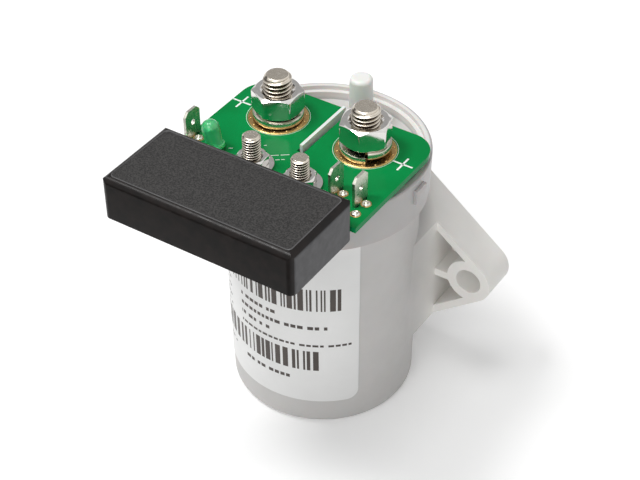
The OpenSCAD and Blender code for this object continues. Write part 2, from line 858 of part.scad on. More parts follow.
module transistor_blocks() {
    for (side = [-1, 1])
        translate([side * transistor_x - transistor_size[0] / 2, transistor_y, board_top_z]) cube(transistor_size);
}

module capacitor_can() {
    translate([capacitor_x, parts_y, board_top_z + capacitor_r + fit_gap]) rotate([90, 0, 0])
        cylinder(r = capacitor_r, h = capacitor_len, center = true);
}

module module_potting() {
    color("dimgray") difference() {
        module_hollow(module_z);
        translate([0, 0, board_z - fit_gap]) linear_extrude(board_t + 2 * fit_gap)
            area([-module_half_w, tongue_front - fit_gap], [module_half_w, module_back]);
        chip_blocks();
        transistor_blocks();
        capacitor_can();
    }
}

module control_chips() {
    color("black") chip_blocks();
}

module power_transistors() {
    color("darkslategray") transistor_blocks();
}

module smoothing_capacitor() {
    color("navy") capacitor_can();
}

module coil_can() {
    color("slategray") difference() {
        rod(inner_r, floor_t, can_top_z);
        rod(inner_r - can_wall, can_floor_z, can_top_z + over);
    }
}

// Two holes for the coil's lead wires
module lead_holes(z0, z1) {
    both_sides(lead_x) translate([0, -lead_y, 0]) rod(lead_hole_r, z0, z1);
}

module top_plate() {
    color("slategray") difference() {
        ring(inner_r, sleeve_in_r, can_top_z, plate_top_z);
        lead_holes(can_top_z - over, plate_top_z + over);
    }
}

module fixed_core() {
    color("gray") difference() {
        union() {
            rod(plunger_r, core_bottom_z, plate_top_z);
            rod(core_flange_r, plate_top_z, plate_top_z + core_flange_t);
        }
        rod(shaft_r + running_gap, core_bottom_z - over, plate_top_z + core_flange_t + over);
        rod(return_seat_r, core_bottom_z - over, core_bottom_z + core_seat_depth);
    }
}

module guide_sleeve() {
    color("gold") ring(sleeve_out_r, sleeve_in_r, can_floor_z, can_top_z);
}

module coil_bobbin() {
    color("ivory") {
        ring(bobbin_tube_r, bobbin_bore_r, can_floor_z, can_top_z);
        ring(bobbin_r, bobbin_bore_r, can_floor_z, can_floor_z + bobbin_flange_t);
        ring(bobbin_r, bobbin_bore_r, can_top_z - bobbin_flange_t, can_top_z);
    }
}

module coil_winding() {
    color("peru") ring(winding_r, bobbin_tube_r + fit_gap, can_floor_z + bobbin_flange_t, can_top_z - bobbin_flange_t);
}

module coil_leads() {
    color("firebrick") both_sides(lead_x) translate([0, -lead_y, 0]) rod(lead_r, can_top_z, board_z);
}

module plunger_stop() {
    color("dimgray") rod(stop_r, can_floor_z, can_floor_z + stop_t);
}

module return_spring() {
    color("lightgray") helix(return_spring_r, return_wire_r, return_low_z, return_high_z, return_turns);
}

// Outline of the arc chamber: a disc cut off flat in front and behind
module chamber_outline(r, half_d) {
    intersection() {
        circle(r);
        area([-r, -half_d], [r, half_d]);
    }
}

module arc_chamber() {
    roof_z = chamber_top_z - chamber_roof;
    color("saddlebrown") difference() {
        translate([0, 0, plate_top_z]) linear_extrude(chamber_h) chamber_outline(inner_r, chamber_half_d);
        translate([0, 0, plate_top_z - over]) linear_extrude(roof_z - plate_top_z + over)
            chamber_outline(inner_r - chamber_wall, chamber_half_d - chamber_wall);
        both_sides(stud_x) rod(stem_r + fit_gap, roof_z - over, chamber_top_z + over);
    }
}

module arc_magnets() {
    color("dimgray") for (flip = [0, 1]) mirror([0, flip, 0])
        translate([-magnet_len / 2, magnet_y, plate_top_z]) cube([magnet_len, magnet_t, magnet_h]);
}

module stud_carrier() {
    seal_z = (chamber_top_z + carrier_top_z) / 2;
    groove_r = seal_r + seal_groove_gap;
    color("tan") difference() {
        rod(inner_r, chamber_top_z, carrier_top_z);
        both_sides(stud_x) rod(stem_r + fit_gap, chamber_top_z - over, carrier_top_z + over);
        lead_holes(chamber_top_z - over, carrier_top_z + over);
        rotate_extrude() area([bore_r - 2 * groove_r, seal_z - groove_r], [bore_r + over, seal_z + groove_r]);
    }
}

module carrier_seal() {
    seal_z = (chamber_top_z + carrier_top_z) / 2;
    color("black") rotate_extrude() translate([bore_r - seal_r - seal_groove_gap, seal_z]) circle(seal_r);
}

module epoxy_seal() {
    color("darkslateblue") difference() {
        rod(bore_r - fit_gap, carrier_top_z, neck_top_z);
        both_sides(stud_x) rod(stem_r + fit_gap, carrier_top_z - over, neck_top_z + over);
        both_sides(lead_x) translate([0, -lead_y, 0]) rod(lead_r + fit_gap, carrier_top_z - over, neck_top_z + over);
    }
}

module fixed_contact_tips() {
    color("silver") both_sides(stud_x) rod(tip_r, fixed_tip_z, head_bottom_z);
}

module plunger() {
    seat_z = plunger_top_z - plunger_seat_depth;
    color("gray") difference() {
        rod(plunger_r, plunger_bottom_z, plunger_top_z);
        rod(shaft_r + fit_gap, plunger_bottom_z - over, plunger_top_z + over);
        rod(return_seat_r, seat_z, plunger_top_z + over);
    }
}

// The shaft runs from the plunger's foot through core, spring and bridge
module plunger_shaft() {
    color("silver") {
        chamfered_rod(shaft_r, stud_chamfer, plunger_bottom_z, shaft_top_z);
        rod(collar_r, collar_top_z - collar_t, collar_top_z);
    }
}

module contact_spring() {
    color("lightgray") helix(contact_spring_r, contact_wire_r, contact_low_z, contact_high_z, contact_turns);
}

module contact_bridge() {
    color("chocolate") translate([0, 0, bridge_z]) linear_extrude(bridge_t) difference() {
        union() {
            area([-stud_x, -bridge_w / 2], [stud_x, bridge_w / 2]);
            both_sides(stud_x) circle(bridge_half_len - stud_x);
        }
        circle(shaft_r + fit_gap);
    }
}

module moving_contact_tips() {
    color("silver") both_sides(stud_x) rod(tip_r, bridge_top_z, moving_tip_top_z);
}

module bridge_clip() {
    color("gray") ring(clip_r, shaft_r + fit_gap, bridge_top_z, bridge_top_z + clip_t);
}

housing_cup();
cap();
filling_post();
terminal_barrier();
label();
circuit_board();
plated_rings();
power_studs();
power_nuts();
lock_washers();
signal_studs();
signal_nuts();
signal_washers();
blade_tab_left();
blade_tab_inner();
blade_tab_outer();
solder_joints();
indicator_lens();
indicator_leads();
module_case();
module_potting();
control_chips();
power_transistors();
smoothing_capacitor();
coil_can();
top_plate();
fixed_core();
guide_sleeve();
coil_bobbin();
coil_winding();
coil_leads();
plunger_stop();
return_spring();
arc_chamber();
arc_magnets();
stud_carrier();
carrier_seal();
epoxy_seal();
fixed_contact_tips();
plunger();
plunger_shaft();
contact_spring();
contact_bridge();
moving_contact_tips();
bridge_clip();
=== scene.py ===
"""Looks of the battery isolator relay: finishes for every solid, threaded hardware, the
control board's details, the label's print, the camera and a pale studio."""

import json
import random
from math import ceil, cos, pi, radians, sin, sqrt, tan

import bpy
from mathutils import Matrix, Vector


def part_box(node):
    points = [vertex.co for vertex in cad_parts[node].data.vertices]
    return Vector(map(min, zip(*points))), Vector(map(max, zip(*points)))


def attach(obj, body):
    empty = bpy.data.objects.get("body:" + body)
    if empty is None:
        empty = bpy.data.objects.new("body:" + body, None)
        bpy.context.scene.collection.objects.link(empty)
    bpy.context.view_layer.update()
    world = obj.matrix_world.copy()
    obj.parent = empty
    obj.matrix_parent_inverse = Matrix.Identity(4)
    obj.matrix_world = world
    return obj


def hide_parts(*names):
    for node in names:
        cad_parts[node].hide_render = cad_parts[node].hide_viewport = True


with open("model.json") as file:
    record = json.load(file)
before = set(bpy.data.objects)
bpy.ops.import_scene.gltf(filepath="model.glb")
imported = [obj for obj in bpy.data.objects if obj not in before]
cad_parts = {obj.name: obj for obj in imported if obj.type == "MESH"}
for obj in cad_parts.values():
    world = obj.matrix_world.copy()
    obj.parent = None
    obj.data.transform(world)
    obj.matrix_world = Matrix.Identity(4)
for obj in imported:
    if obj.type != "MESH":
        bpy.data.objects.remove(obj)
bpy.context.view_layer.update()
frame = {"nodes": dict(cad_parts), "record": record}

MM = 0.001
TURN = 2 * pi
BODY = "relay"


# Places and sizes, taken from the frame where a solid gives them

def low(node):
    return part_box(node)[0]


def high(node):
    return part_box(node)[1]


SHOULDER_R = 8 * MM
STUD_R = 4 * MM
STUD_PITCH = 1.25 * MM
STUD_X = high("power_studs").x - SHOULDER_R
STUD_TOP = high("power_studs").z
NUT_FLATS = 13 * MM
NUT_HIGH = 6.5 * MM
NUT_BOTTOMS = (low("power_nuts").z, high("power_nuts").z - NUT_HIGH)
NUT_TURNS = (radians(30), radians(48))
LOCK_SPLIT_TURN = radians(-56)
LOCK_THICK = 1.9 * MM

SIGNAL_R = 2.5 * MM
SIGNAL_PITCH = 0.8 * MM
SIGNAL_HEAD_R = 4.2 * MM
SIGNAL_FLATS = 8 * MM
SIGNAL_Y = (low("signal_studs").y + high("signal_studs").y) / 2
SIGNAL_XS = (low("signal_studs").x + SIGNAL_HEAD_R, high("signal_studs").x - SIGNAL_HEAD_R)
SIGNAL_STEP = 1.1 * MM
SIGNAL_TOPS = (high("signal_studs").z, high("signal_studs").z - SIGNAL_STEP)

BOARD_LOW = low("circuit_board").z
BOARD_TOP = high("circuit_board").z
CUP_TOP_R = 27.9 * MM
CUP_BASE_R = 27.1 * MM
CUP_SHOULDER_Z = low("cap").z
CAP_R = 30.7 * MM


# Camera, at the photograph's viewing angle

CAMERA_TARGET = Vector((-0.85, 0, 47.08)) * MM
CAMERA_TURN = radians(33.67)
CAMERA_DOWN = radians(39.51)
CAMERA_ROLL = radians(-0.61)
CAMERA_DISTANCE = 464.3 * MM
CAMERA_LENS = 90
CAMERA_SENSOR = 36


def add_camera():
    forward = Vector((
        -sin(CAMERA_TURN) * cos(CAMERA_DOWN),
        cos(CAMERA_TURN) * cos(CAMERA_DOWN),
        -sin(CAMERA_DOWN),
    ))
    right = Vector((cos(CAMERA_TURN), sin(CAMERA_TURN), 0))
    up = right.cross(forward)
    rolled_right = cos(CAMERA_ROLL) * right + sin(CAMERA_ROLL) * up
    rolled_up = cos(CAMERA_ROLL) * up - sin(CAMERA_ROLL) * right
    data = bpy.data.cameras.new("camera")
    data.lens = CAMERA_LENS
    data.sensor_width = CAMERA_SENSOR
    data.clip_start = 0.01
    data.clip_end = 20
    camera = bpy.data.objects.new("camera", data)
    bpy.context.scene.collection.objects.link(camera)
    turn = Matrix((rolled_right, rolled_up, -forward)).transposed().to_4x4()
    camera.matrix_world = Matrix.Translation(CAMERA_TARGET - forward * CAMERA_DISTANCE) @ turn
    bpy.context.scene.camera = camera


# Materials

def rgb(red, green, blue):
    """A colour as it is written for screens, 0 to 255, in the renderer's linear values."""
    values = [c / 255 for c in (red, green, blue)]
    return tuple(c / 12.92 if c <= 0.04045 else ((c + 0.055) / 1.055) ** 2.4 for c in values) + (1,)


class Finish:
    """A procedural material. Its coordinates are the frame's own, in metres."""

    def __init__(self, name, **sockets):
        self.material = bpy.data.materials.new(name)
        self.material.use_nodes = True
        self.tree = self.material.node_tree
        self.shader = self.tree.nodes["Principled BSDF"]
        for socket, value in sockets.items():
            self.shader.inputs[socket.replace("_", " ")].default_value = value
        self.place = self.add("ShaderNodeTexCoord").outputs["Object"]
        self.normal = None
        self.mixed = None

    def add(self, kind, **settings):
        node = self.tree.nodes.new(kind)
        for setting, value in settings.items():
            setattr(node, setting, value)
        return node

    def link(self, output, socket):
        self.tree.links.new(output, socket)

    def noise(self, size, detail=3):
        """Soft noise whose features are about size metres across."""
        node = self.add("ShaderNodeTexNoise")
        node.inputs["Scale"].default_value = 1 / size
        node.inputs["Detail"].default_value = detail
        self.link(self.place, node.inputs["Vector"])
        return node.outputs["Fac"]

    def span(self, value, from_low, from_high, to_low, to_high):
        node = self.add("ShaderNodeMapRange")
        node.inputs["From Min"].default_value = from_low
        node.inputs["From Max"].default_value = from_high
        node.inputs["To Min"].default_value = to_low
        node.inputs["To Max"].default_value = to_high
        self.link(value, node.inputs["Value"])
        return node.outputs["Result"]

    def maths(self, operation, first, second=0.0):
        node = self.add("ShaderNodeMath", operation=operation)
        for socket, value in zip(node.inputs, (first, second)):
            if isinstance(value, (int, float)):
                socket.default_value = value
            else:
                self.link(value, socket)
        return node.outputs["Value"]

    def mix(self, factor, first, second):
        node = self.add("ShaderNodeMix", data_type="RGBA")
        self.link(factor, node.inputs["Factor"])
        for socket, value in ((node.inputs["A"], first), (node.inputs["B"], second)):
            if isinstance(value, tuple):
                socket.default_value = value
            else:
                self.link(value, socket)
        return node.outputs["Result"]

    def colour(self, first, second, size, contrast=0.25):
        """Base colour that drifts between two colours."""
        factor = self.span(self.noise(size), 0.5 - contrast, 0.5 + contrast, 0, 1)
        self.mixed = self.mix(factor, first, second)
        self.link(self.mixed, self.shader.inputs["Base Color"])

    def roughness(self, smooth, rough, size):
        self.link(self.span(self.noise(size, 5), 0.3, 0.7, smooth, rough), self.shader.inputs["Roughness"])

    def bump(self, height, depth, strength=1.0):
        """Adds a bump of that depth in metres on top of any bump already there."""
        node = self.add("ShaderNodeBump")
        node.inputs["Strength"].default_value = strength
        node.inputs["Distance"].default_value = depth
        self.link(height, node.inputs["Height"])
        if self.normal:
            self.link(self.normal, node.inputs["Normal"])
        self.normal = node.outputs["Normal"]
        self.link(self.normal, self.shader.inputs["Normal"])

    def axis(self, name):
        """X, Y or Z of the place, in metres."""
        node = self.add("ShaderNodeSeparateXYZ")
        self.link(self.place, node.inputs["Vector"])
        return node.outputs[name]

    def facing(self, name):
        """X, Y or Z of the way the surface faces, from -1 to 1."""
        side = self.add("ShaderNodeNewGeometry")
        node = self.add("ShaderNodeSeparateXYZ")
        self.link(side.outputs["Normal"], node.inputs["Vector"])
        return node.outputs[name]

    def paint(self, colour):
        self.link(colour, self.shader.inputs["Base Color"])


def add_grain(finish, smooth, rough, grain, depth):
    """Uneven gloss and a fine moulded grain."""
    finish.roughness(smooth, rough, 1.5 * MM)
    finish.bump(finish.noise(grain, 4), depth, 0.6)


def plastic(name, first, second, smooth, rough, grain, depth, **sockets):
    """Moulded plastic that drifts between two colours."""
    finish = Finish(name, **sockets)
    finish.colour(first, second, 9 * MM)
    add_grain(finish, smooth, rough, grain, depth)
    return finish


def metal(name, first, second, smooth, rough, scratch=0.5, depth=0.002, **sockets):
    """Metal with drifting tone and fine uneven marks."""
    finish = Finish(name, Metallic=1.0, **sockets)
    finish.colour(first, second, 1.2 * MM)
    finish.roughness(smooth, rough, scratch * MM)
    finish.bump(finish.noise(scratch * MM, 2), depth * MM, 0.5)
    return finish


def axis_distance(finish, x=0.0, y=0.0):
    """Distance from the upright axis through x and y, which is the cup's own if none is given."""
    squares = []
    for name, centre in (("X", x), ("Y", y)):
        offset = finish.maths("ABSOLUTE", finish.maths("SUBTRACT", finish.axis(name), centre))
        squares.append(finish.maths("POWER", offset, 2.0))
    return finish.maths("SQRT", finish.maths("ADD", *squares))


def cup_plastic():
    """Light grey moulding, paler out on the ears and flange than on the cup's wall, which is painted light on
    them.
    """
    finish = Finish("cup_plastic", Subsurface_Weight=0.06, Subsurface_Scale=0.002)
    add_grain(finish, 0.42, 0.55, 0.35 * MM, 0.012 * MM)
    # Painted light: the ears and flange, out past the cup's wall, get a paler copy of the wall's grey.
    lit_ear_share = finish.span(axis_distance(finish), CUP_TOP_R, CUP_TOP_R + 5 * MM, 0, 1)
    tone = finish.span(finish.noise(9 * MM), 0.25, 0.75, 0, 1)
    wall = finish.mix(tone, rgb(195, 193, 191), rgb(201, 199, 197))
    painted_lit_ear = finish.mix(tone, rgb(234, 232, 228), rgb(240, 238, 234))
    finish.paint(finish.mix(lit_ear_share, wall, painted_lit_ear))
    return finish


def cap_plastic():
    """Paler than the cup on its rim, with painted shade that makes it greyer on its side and darker down on
    its floor, under the board.
    """
    finish = Finish("cap_plastic", Subsurface_Weight=0.2, Subsurface_Scale=0.003)
    add_grain(finish, 0.3, 0.42, 0.4 * MM, 0.008 * MM)
    # Painted shade: the side below the board gets a greyer copy of the cap's colour.
    side = finish.span(axis_distance(finish), CAP_R - 0.9 * MM, CAP_R - 0.4 * MM, 0, 1)
    tone = finish.span(finish.noise(9 * MM), 0.25, 0.75, 0, 1)
    pale = finish.mix(tone, rgb(226, 224, 221), rgb(231, 229, 226))
    grey = finish.mix(tone, rgb(178, 176, 175), rgb(184, 182, 181))
    # Painted shade: the floor down under the board is painted darker than the rim.
    floor_z = low("terminal_barrier").z
    height = finish.span(finish.axis("Z"), floor_z + 0.3 * MM, floor_z + 1.2 * MM, 0, 1)
    inside = finish.mix(height, rgb(208, 206, 203), pale)
    finish.paint(finish.mix(side, inside, grey))
    return finish


def post_plastic():
    return plastic("post_plastic", rgb(232, 233, 230), rgb(237, 238, 235), 0.35, 0.5, 0.5 * MM, 0.01 * MM,
                   Subsurface_Weight=0.2, Subsurface_Scale=0.003)


def label_film():
    return plastic("label_film", rgb(228, 228, 227), rgb(233, 233, 232), 0.3, 0.4, 1.2 * MM, 0.004 * MM,
                   Coat_Weight=0.15, Coat_Roughness=0.25)


def label_print():
    return plastic("label_print", rgb(58, 50, 46), rgb(72, 63, 57), 0.35, 0.5, 0.3 * MM, 0.002 * MM)


def silk_print():
    return plastic("silk_print", rgb(236, 244, 238), rgb(246, 250, 247), 0.4, 0.55, 0.2 * MM, 0.004 * MM)


def board_green():
    """Solder mask over copper: drifting tone, a fine weave, and a slightly paler green on the edges."""
    finish = Finish("board_green", Specular_IOR_Level=0.07)
    field = finish.mix(finish.span(finish.noise(14 * MM), 0.4, 0.6, 0, 1), rgb(0, 128, 62), rgb(0, 142, 72))
    weave = finish.add("ShaderNodeTexBrick")
    weave.inputs["Scale"].default_value = 1 / (0.9 * MM)
    weave.inputs["Mortar Size"].default_value = 0.04
    finish.link(finish.place, weave.inputs["Vector"])
    finish.link(field, weave.inputs["Color1"])
    finish.link(field, weave.inputs["Color2"])
    weave.inputs["Mortar"].default_value = rgb(0, 124, 60)
    flat = finish.span(finish.maths("ABSOLUTE", finish.facing("Z")), 0.4, 0.6, 0, 1)
    finish.paint(finish.mix(flat, rgb(14, 138, 78), weave.outputs["Color"]))
    finish.roughness(0.14, 0.24, 3 * MM)
    finish.bump(finish.noise(2.2 * MM, 3), 0.01 * MM, 0.4)
    return finish


def gold_plating():
    return metal("gold_plating", rgb(176, 142, 88), rgb(202, 170, 114), 0.2, 0.36)


def root_shade_mask(finish, x, y, root, crest, tip):
    """Mask of painted shade on one stud's thread: 0 at the root and 1 at the crest, and 1 near its tip."""
    distance = axis_distance(finish, x, y)
    far = finish.maths("GREATER_THAN", distance, 1.3 * crest)
    groove = finish.maths("MAXIMUM", far, finish.span(distance, root, crest, 0, 1))
    near_tip = finish.span(finish.axis("Z"), tip - 1.1 * MM, tip - 0.8 * MM, 0, 1)
    return finish.maths("MAXIMUM", groove, near_tip)


def stainless_stud():
    """Bright steel with painted shade in the roots of the threads, kept off faces that look straight up."""
    finish = metal("stainless_stud", rgb(205, 196, 182), rgb(222, 214, 202), 0.16, 0.3)
    studs = [(side * STUD_X, 0.0, STUD_R - 0.62 * MM, STUD_R - 0.12 * MM, STUD_TOP) for side in (-1, 1)]
    studs += [
        (x, SIGNAL_Y, SIGNAL_R - 0.4 * MM, SIGNAL_R - 0.06 * MM, top)
        for x, top in zip(SIGNAL_XS, SIGNAL_TOPS)
    ]
    share = None
    for x, y, root, crest, tip in studs:
        one = root_shade_mask(finish, x, y, root, crest, tip)
        share = finish.maths("MINIMUM", share, one) if share else one
    level = finish.span(finish.facing("Z"), 0.93, 0.97, 0, 1)
    share = finish.maths("MAXIMUM", share, level)
    # Painted shade: a dark brown-grey in the thread roots.
    finish.paint(finish.mix(share, rgb(58, 48, 38), finish.mixed))
    return finish


def plated_nut():
    return metal("plated_nut", rgb(214, 211, 208), rgb(228, 226, 223), 0.06, 0.14, scratch=1.2, depth=0.002)


def spring_steel():
    return metal("spring_steel", rgb(204, 198, 184), rgb(220, 214, 202), 0.14, 0.28)


def tinned_tab():
    return metal("tinned_tab", rgb(196, 194, 182), rgb(214, 212, 202), 0.22, 0.42)


def solder():
    return metal("solder", rgb(205, 203, 192), rgb(226, 224, 215), 0.1, 0.25)


def green_lens():
    return plastic("green_lens", rgb(70, 222, 140), rgb(92, 236, 160), 0.03, 0.08, 1.5 * MM, 0.002 * MM,
                   Transmission_Weight=0.5, IOR=1.45, Subsurface_Weight=0.4, Subsurface_Scale=0.002,
                   Coat_Weight=0.7, Coat_Roughness=0.03)


MODULE_LOW, MODULE_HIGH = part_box("module_case")
BORDER_INSET = 2.0 * MM
BORDER_WIDTH = 0.35 * MM


def black_case():
    """Black moulding: grained and matt inside the top's border, glossier outside it, and greyer at its ends
    as a painted reflection.
    """
    finish = Finish("black_case", Specular_IOR_Level=0.2)
    inside = finish.span(finish.axis("Z"), MODULE_HIGH.z - 0.5 * MM, MODULE_HIGH.z - 0.2 * MM, 0, 1)
    for axis in ("X", "Y"):
        start = getattr(MODULE_LOW, axis.lower()) + BORDER_INSET
        end = getattr(MODULE_HIGH, axis.lower()) - BORDER_INSET
        place = finish.axis(axis)
        inside = finish.maths("MULTIPLY", inside, finish.maths("GREATER_THAN", place, start))
        inside = finish.maths("MULTIPLY", inside, finish.maths("LESS_THAN", place, end))
    grain = finish.noise(0.42 * MM, 5)
    speckle = finish.span(grain, 0.38, 0.62, 0, 1)
    matt = finish.mix(speckle, rgb(38, 37, 37), rgb(68, 67, 66))
    cloud = finish.span(finish.noise(3 * MM, 5), 0.35, 0.65, 0, 1)
    plain = finish.mix(cloud, rgb(12, 9, 8), rgb(24, 18, 16))
    # Painted reflection: faces towards X get a lighter grey than the black moulding.
    end_sheen_share = finish.span(finish.maths("ABSOLUTE", finish.facing("X")), 0.9, 0.97, 0, 1)
    painted_sheen_ends = finish.mix(cloud, rgb(70, 70, 72), rgb(80, 80, 82))
    outside = finish.mix(end_sheen_share, plain, painted_sheen_ends)
    finish.paint(finish.mix(inside, outside, matt))
    gloss = finish.span(finish.noise(2 * MM, 4), 0.3, 0.7, 0.28, 0.42)
    dull = finish.span(grain, 0.3, 0.7, 0.5, 0.7)
    rough = finish.add("ShaderNodeMix", data_type="FLOAT")
    finish.link(inside, rough.inputs["Factor"])
    finish.link(gloss, rough.inputs["A"])
    finish.link(dull, rough.inputs["B"])
    finish.link(rough.outputs["Result"], finish.shader.inputs["Roughness"])
    deep = finish.maths("MULTIPLY", grain, finish.maths("ADD", finish.maths("MULTIPLY", inside, 0.9), 0.1))
    finish.bump(deep, 0.08 * MM, 0.7)
    return finish


def case_line_highlight():
    # Grey, not black like the moulding: a painted highlight along the raised border line.
    return plastic("case_line_highlight", rgb(66, 65, 66), rgb(88, 87, 88), 0.12, 0.3, 1 * MM, 0.004 * MM,
                   Specular_IOR_Level=0.9)


def potting():
    return plastic("potting", rgb(30, 30, 32), rgb(38, 38, 40), 0.12, 0.3, 4 * MM, 0.05 * MM)


def chip_black():
    return plastic("chip_black", rgb(34, 34, 36), rgb(42, 42, 44), 0.5, 0.65, 0.2 * MM, 0.01 * MM)


def capacitor_sleeve():
    return plastic("capacitor_sleeve", rgb(24, 32, 86), rgb(30, 40, 98), 0.2, 0.35, 1 * MM, 0.005 * MM)


def soft_iron():
    return metal("soft_iron", rgb(150, 150, 152), rgb(172, 172, 174), 0.3, 0.5)


def brass_sleeve():
    return metal("brass_sleeve", rgb(196, 164, 88), rgb(214, 184, 108), 0.18, 0.35)


def bobbin_plastic():
    return plastic("bobbin_plastic", rgb(214, 206, 182), rgb(222, 215, 194), 0.4, 0.55, 0.4 * MM, 0.01 * MM)


def copper():
    """Enamelled copper with the fine lines of its turns."""
    finish = metal("copper", rgb(186, 104, 62), rgb(206, 124, 78), 0.22, 0.38)
    turns = finish.add("ShaderNodeTexWave", bands_direction="Z")
    turns.inputs["Scale"].default_value = 1 / (20 * 0.4 * MM)
    finish.link(finish.place, turns.inputs["Vector"])
    finish.bump(turns.outputs["Fac"], 0.05 * MM, 0.5)
    return finish


def lead_insulation():
    return plastic("lead_insulation", rgb(150, 28, 22), rgb(166, 36, 28), 0.3, 0.45, 0.5 * MM, 0.005 * MM)


def rubber_stop():
    return plastic("rubber_stop", rgb(28, 28, 28), rgb(36, 36, 36), 0.6, 0.8, 0.4 * MM, 0.02 * MM)


def chamber_resin():
    return plastic("chamber_resin", rgb(112, 74, 44), rgb(126, 86, 54), 0.4, 0.6, 0.5 * MM, 0.02 * MM)


def magnet():
    return plastic("magnet", rgb(52, 52, 56), rgb(66, 66, 70), 0.5, 0.7, 0.2 * MM, 0.02 * MM)


def silver_tip():
    return metal("silver_tip", rgb(220, 220, 218), rgb(234, 234, 232), 0.2, 0.35)


FINISHES = {
    make.__name__: make().material
    for make in (
        cup_plastic, cap_plastic, post_plastic, label_film, label_print, silk_print, board_green,
        gold_plating, stainless_stud, plated_nut, spring_steel, tinned_tab, solder, green_lens,
        black_case, case_line_highlight, potting, chip_black, capacitor_sleeve, soft_iron, brass_sleeve, bobbin_plastic,
        copper, lead_insulation, rubber_stop, chamber_resin, magnet, silver_tip,
    )
}


def finish_solids():
    for part in frame["record"]["subparts"]:
        solid = frame["nodes"][part["node"]]
        solid.data.materials.clear()
        solid.data.materials.append(FINISHES[part["material_slot"]])


def soften_edges(node, width, angle=30, segments=2):
    """Rounds the sharp edges of a solid without moving it."""
    bevel = frame["nodes"][node].modifiers.new("soft_edges", "BEVEL")
    bevel.width = width
    bevel.segments = segments
    bevel.limit_method = "ANGLE"
    bevel.angle_limit = radians(angle)
    bevel.harden_normals = True


# Meshes

class Shape:
    """Collects the vertices and faces of one piece."""

    def __init__(self):
        self.vertices = []
        self.faces = []

    def rows(self, rows, closed=True, start_cap=False, end_cap=False, place=None):
        """Joins rows of points, each as long as the first, into a surface."""
        first = len(self.vertices)
        width = len(rows[0])
        for row in rows:
            self.vertices += [place @ Vector(p) if place else Vector(p) for p in row]
        steps = width if closed else width - 1
        for i in range(len(rows) - 1):
            for k in range(steps):
                a = first + i * width + k
                b = first + i * width + (k + 1) % width
                self.faces.append((a, b, b + width, a + width))
        if start_cap:
            self.faces.append(tuple(first + k for k in reversed(range(width))))
        if end_cap:
            last = first + (len(rows) - 1) * width
            self.faces.append(tuple(last + k for k in range(width)))

    def turned(self, profile, columns=48, place=None, **caps):
        """Turns a profile of (radius, height) pairs, from the outside up and over, about Z."""
        rows = [circle(r, turns(columns), z) for r, z in profile]
        self.rows(rows, place=place, **caps)

    def object(self, name, finish, replaced=(), sharp=35):
        mesh = bpy.data.meshes.new(name)
        mesh.from_pydata(self.vertices, [], self.faces)
        mesh.materials.append(FINISHES[finish])
        mesh.shade_smooth()
        mesh.set_sharp_from_angle(angle=radians(sharp))
        piece = bpy.data.objects.new(name, mesh)
        bpy.context.scene.collection.objects.link(piece)
        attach(piece, BODY)
        if replaced:
            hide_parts(*replaced)
        return piece


def turns(columns):
    """Angles of that many points round a circle."""
    return [TURN * k / columns for k in range(columns)]


def circle(radius, angles, z):
    return [(radius * cos(t), radius * sin(t), z) for t in angles]


def thread_radius(major, pitch, angle, z):
    """Radius of a thread with a flat crest and a flat root."""
    depth = 0.613 * pitch
    phase = (z / pitch - angle / TURN) % 1
    rise = min(max((abs(2 * phase - 1) - 0.25) / 0.62, 0), 1)
    return major - depth * (1 - rise)


def add_thread(shape, place, major, pitch, z0, z1, chamfer, columns=48, rows_per_turn=28):
    """A threaded end that runs from z0 up to a chamfered tip at z1."""
    count = ceil((z1 - z0) / pitch * rows_per_turn)
    angles = turns(columns)
    tip_r = major - chamfer
    rows = []
    for i in range(count + 1):
        z = z0 + (z1 - z0) * i / count
        limit = tip_r + (z1 - z)
        rows.append([])
        for angle in angles:
            r = min(thread_radius(major, pitch, angle, z), limit)
            rows[-1].append((r * cos(angle), r * sin(angle), z))
    for share, sink in ((0.93, 0.0), (0.5, 0.02 * MM), (0.04, 0.03 * MM)):
        rows.append(circle(share * tip_r, angles, z1 - sink))
    shape.rows(rows, end_cap=True, place=place)


def power_studs():
    """Studs with a head inside the cup, a broad shoulder under the board and a threaded end."""
    shape = Shape()
    base = low("power_studs").z
    head_top = base + 3 * MM
    head_r = 5 * MM
    shank_r = 4.5 * MM
    core_r = 3.5 * MM
    edge = 0.2 * MM
    centre = 0.2 * MM
    shoulder_low = low("cap").z + 5.5 * MM
    for side, bottom in zip((-1, 1), NUT_BOTTOMS):
        hidden = bottom + NUT_HIGH - 1.5 * STUD_PITCH
        place = Matrix.Translation((side * STUD_X, 0, 0))
        shape.turned([
            (centre, base), (head_r - edge, base), (head_r, base + edge), (head_r, head_top),
            (shank_r, head_top), (shank_r, shoulder_low), (SHOULDER_R - edge, shoulder_low),
            (SHOULDER_R, shoulder_low + edge), (SHOULDER_R, BOARD_LOW), (core_r, BOARD_LOW),
            (core_r, hidden),
        ], place=place, start_cap=True)
        add_thread(shape, place, STUD_R, STUD_PITCH, hidden, STUD_TOP, 0.95 * MM, columns=64)
    shape.object("power_studs_threaded", "stainless_stud", ["power_studs"], sharp=50)


def signal_studs():
    """Smaller studs with a head under the board."""
    shape = Shape()
    head_low = low("signal_studs").z
    edge = 0.4 * MM
    core_r = 2.2 * MM
    for x, tip in zip(SIGNAL_XS, SIGNAL_TOPS):
        place = Matrix.Translation((x, SIGNAL_Y, 0))
        shape.turned([
            (0.2 * MM, head_low), (SIGNAL_HEAD_R - edge, head_low), (SIGNAL_HEAD_R, head_low + edge),
            (SIGNAL_HEAD_R, BOARD_LOW), (core_r, BOARD_LOW), (core_r, BOARD_TOP),
        ], place=place, start_cap=True)
        add_thread(shape, place, SIGNAL_R, SIGNAL_PITCH, BOARD_TOP, tip, 0.5 * MM)
    shape.object("signal_studs_threaded", "stainless_stud", ["signal_studs"], sharp=50)


